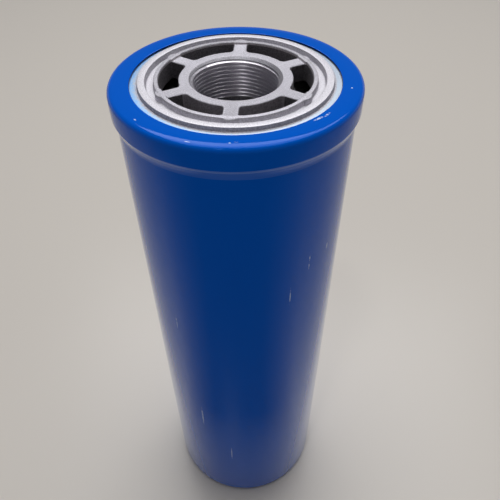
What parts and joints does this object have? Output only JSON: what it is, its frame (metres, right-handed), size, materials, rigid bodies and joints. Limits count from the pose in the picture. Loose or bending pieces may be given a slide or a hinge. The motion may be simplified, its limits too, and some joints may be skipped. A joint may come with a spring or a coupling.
{
  "type": "spin-on hydraulic filter",
  "caption": "Spin-on hydraulic filter: blue steel can rolled over a spoked die-cast head plate with a threaded hub, pleated element and bypass valve inside.",
  "frame": {"origin": "centre of the base ring that the closed end stands on", "axes": "+Z along the filter's axis, from the closed end to the threaded hub; +X through the middle of one inlet slot"},
  "size_m": [0.125, 0.125, 0.366],
  "materials": {
    "blue_enamel": "gloss blue stoving enamel",
    "cast_aluminium": "die cast, machined on its faces",
    "zinc_steel": "zinc-plated sheet",
    "spring_steel": "oiled spring wire",
    "black_rubber": "matt",
    "filter_media": "pleated glass fibre between wire meshes",
    "adhesive": "set adhesive",
    "band_ribbon": "plain ribbon"
  },
  "bodies": {
    "filter": {"can": "blue_enamel", "head_plate": "cast_aluminium", "head_seal_ring": "black_rubber", "hub_grommet": "black_rubber", "element_top_cap": "zinc_steel", "top_potting": "adhesive", "centre_tube": "zinc_steel", "pleated_media": "filter_media", "media_seam_clip": "zinc_steel", "pleat_band_1": "band_ribbon", "pleat_band_2": "band_ribbon", "pleat_band_3": "band_ribbon", "bottom_potting": "adhesive", "element_bottom_cap": "zinc_steel", "bypass_seat": "zinc_steel", "bypass_cage": "zinc_steel", "bypass_spring": "spring_steel", "spring_seat": "zinc_steel", "element_spring": "spring_steel"},
    "poppet": {"bypass_poppet": "zinc_steel", "bypass_poppet_seal": "black_rubber"}
  },
  "joints": [
    {"name": "bypass_lift", "type": "slide", "parent": "filter", "child": "poppet", "axis": [0, 0, 1], "range_m": [0, 0.005], "stiffness_N_per_m": 2600, "springref_m": -0.01, "deforming": ["bypass_spring"]}
  ]
}
